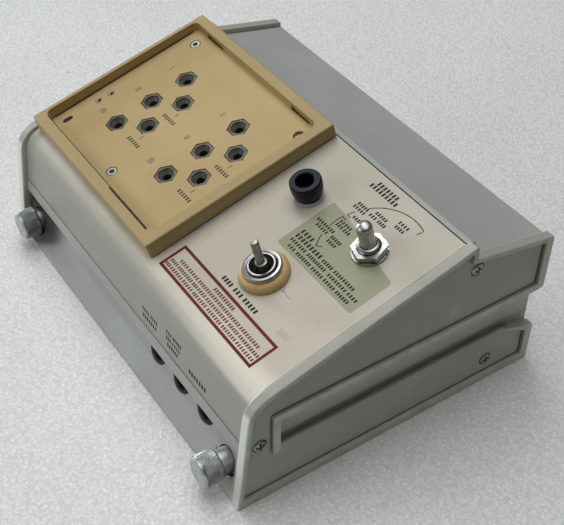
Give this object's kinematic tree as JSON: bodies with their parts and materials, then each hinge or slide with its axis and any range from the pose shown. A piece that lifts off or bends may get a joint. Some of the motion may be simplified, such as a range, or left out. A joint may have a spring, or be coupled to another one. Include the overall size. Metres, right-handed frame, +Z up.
{
  "type": "curve tracer test fixture",
  "caption": "Low sloping test console with a tan block of hexagonal sockets, lever switch, rotary selector shaft, black lamp cap, front jacks, side rail grooves and knurled thumbscrews.",
  "frame": {"origin": "centre of the bounding box's base, on the bench", "axes": "+X to the operator's right, +Y from the operator towards the main unit, +Z up"},
  "size_m": [0.202, 0.1594, 0.0901],
  "materials": {
    "case_enamel": "warm grey enamel, semi-gloss",
    "panel_enamel": "pale warm grey screened enamel, satin",
    "tan_plastic": "fine-textured moulded plastic",
    "nickel": "bright nickel plate, worn",
    "steel": "dull zinc plate",
    "black_plastic": "satin black",
    "pale_plastic": "satin off-white",
    "phenolic": "dull brown laminate",
    "green_board": "varnished board"
  },
  "bodies": {
    "case": {"side_plate_left": "case_enamel", "side_plate_right": "case_enamel", "rear_deck": "case_enamel", "front_sill": "case_enamel", "rear_panel": "case_enamel", "bottom_cover": "case_enamel", "top_panel": "panel_enamel", "socket_block": "tan_plastic", "toggle_spacer_ring": "tan_plastic", "toggle_nut": "nickel", "toggle_bushing": "nickel", "selector_lock_washer": "nickel", "selector_nut": "nickel", "selector_body": "nickel", "lamp_holder": "nickel", "lamp_nut": "nickel", "thumbscrew_bracket_left": "steel", "thumbscrew_bracket_right": "steel", "block_screw_1": "steel", "block_screw_2": "steel", "block_screw_3": "steel", "side_screw_front_left": "steel", "side_screw_front_right": "steel", "side_screw_ridge_left": "steel", "side_screw_ridge_right": "steel", "side_screw_rear_left": "steel", "side_screw_rear_right": "steel", "socket_jack_1_collector": "steel", "socket_jack_1_collector_sense": "steel", "socket_jack_1_base": "steel", "socket_jack_1_emitter_sense": "steel", "socket_jack_1_emitter": "steel", "socket_jack_2_collector": "steel", "socket_jack_2_collector_sense": "steel", "socket_jack_2_base": "steel", "socket_jack_2_emitter_sense": "steel", "socket_jack_2_emitter": "steel", "lamp_cap": "black_plastic", "interlock_switch": "black_plastic", "front_jack_1": "black_plastic", "front_jack_2": "black_plastic", "front_jack_3": "black_plastic", "lamp_washer": "pale_plastic", "toggle_body": "phenolic", "selector_wafer_1": "phenolic", "selector_wafer_2": "phenolic", "rear_connector": "phenolic", "interface_board": "green_board"},
    "lever": {"toggle_lever": "nickel"},
    "selector": {"selector_shaft": "nickel"},
    "plunger": {"interlock_plunger": "pale_plastic"},
    "slide_left": {"retaining_washer_left": "steel"},
    "slide_right": {"retaining_washer_right": "steel"},
    "screw_left": {"thumbscrew_left": "nickel"},
    "screw_right": {"thumbscrew_right": "nickel"}
  },
  "joints": [
    {"name": "toggle_tilt", "type": "hinge", "parent": "case", "child": "lever", "pos_m": [0.052, -0.02734, 0.06503], "axis": [0, 0.9626, 0.2711], "range_deg": [-15, 9]},
    {"name": "selector_turn", "type": "hinge", "parent": "case", "child": "selector", "pos_m": [0.0723, 0.00797, 0.07394], "axis": [0, -0.2711, 0.9626], "range_deg": [-60, 60]},
    {"name": "interlock_press", "type": "slide", "parent": "case", "child": "plunger", "axis": [0, 0.2711, -0.9626], "range_m": [0, 0.002], "stiffness_N_per_m": 150, "springref_m": -0.002},
    {"name": "thumbscrew_slide_left", "type": "slide", "parent": "case", "child": "slide_left", "axis": [0, 1, 0], "range_m": [-0.0027, 0.0011]},
    {"name": "thumbscrew_turn_left", "type": "hinge", "parent": "slide_left", "child": "screw_left", "pos_m": [-0.0858, -0.077, 0.013], "axis": [0, 1, 0], "continuous": true},
    {"name": "thumbscrew_slide_right", "type": "slide", "parent": "case", "child": "slide_right", "axis": [0, 1, 0], "range_m": [0, 0.0038]},
    {"name": "thumbscrew_turn_right", "type": "hinge", "parent": "slide_right", "child": "screw_right", "pos_m": [0.0858, -0.0797, 0.013], "axis": [0, 1, 0], "continuous": true}
  ]
}
